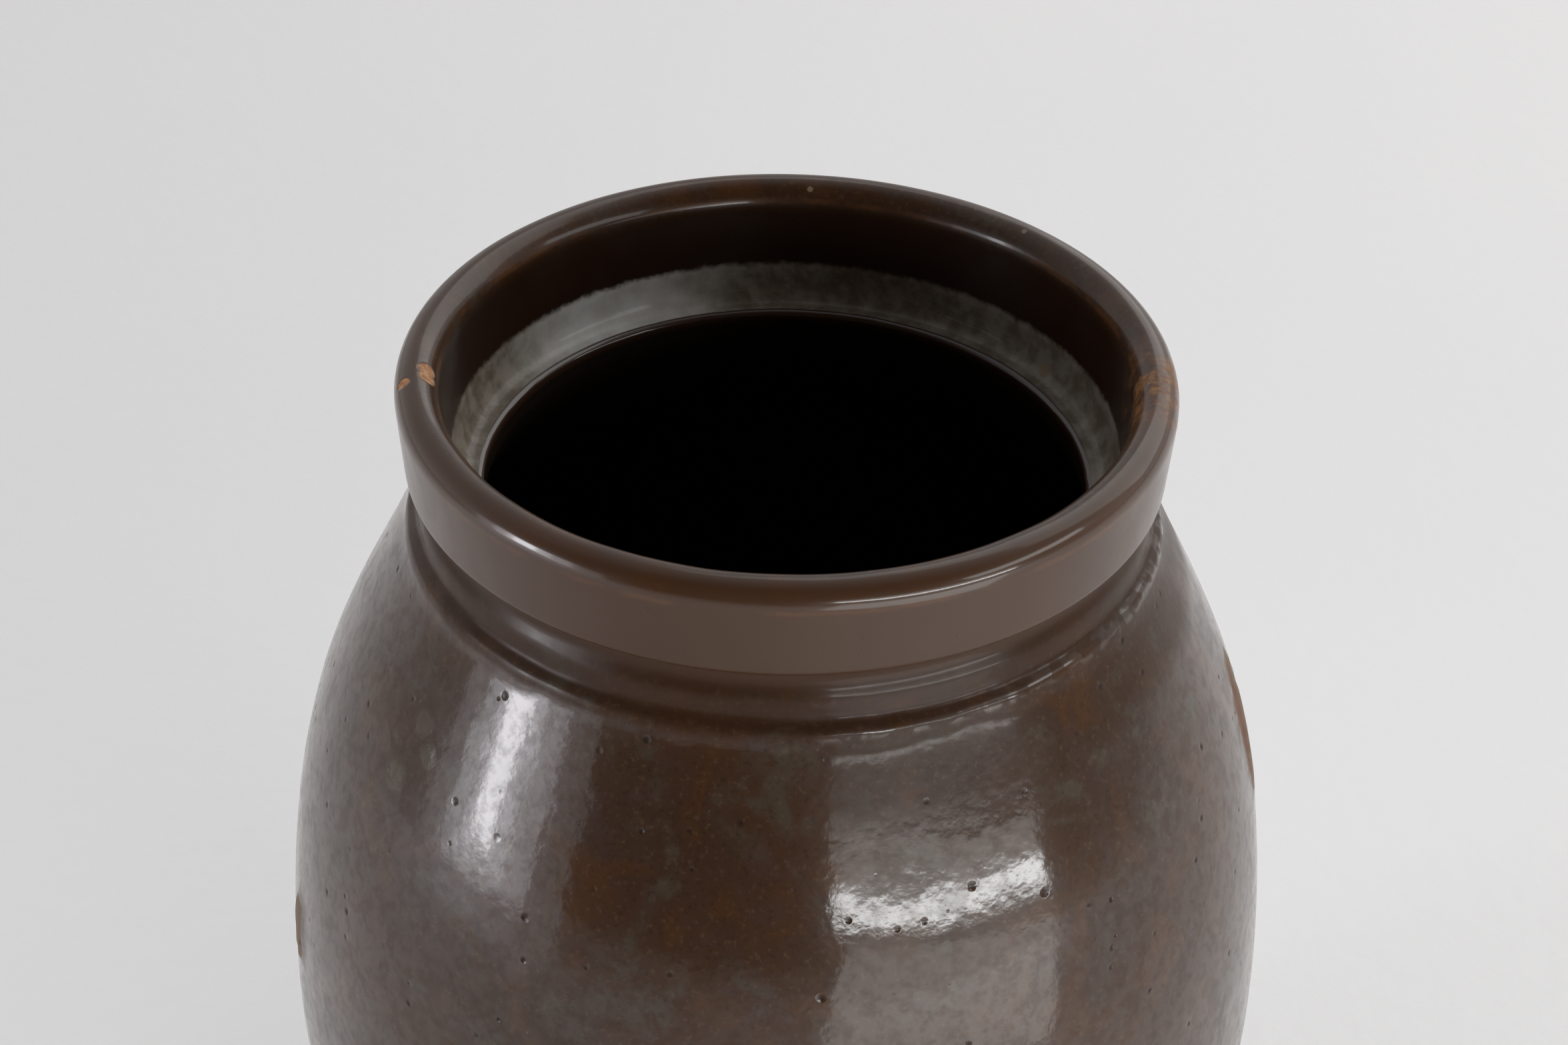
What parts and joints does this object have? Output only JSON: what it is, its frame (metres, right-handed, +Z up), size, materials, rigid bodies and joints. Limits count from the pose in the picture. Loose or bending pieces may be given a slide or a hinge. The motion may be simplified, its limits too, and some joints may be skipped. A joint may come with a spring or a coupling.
{
  "type": "butter crock",
  "caption": "Tall round stoneware crock with a swelling body, a grooved neck, an upright collar and a stepped mouth that seats a lid.",
  "frame": {"origin": "centre of the flat base, on the surface that the crock stands on", "axes": "+Z up along the crock's axis; the crock is round, so +X and +Y are any two directions across it"},
  "size_m": [0.203, 0.203, 0.285],
  "materials": {
    "brown_glaze": "gloss"
  },
  "bodies": {
    "root": {"crock_body": "brown_glaze"}
  },
  "joints": []
}
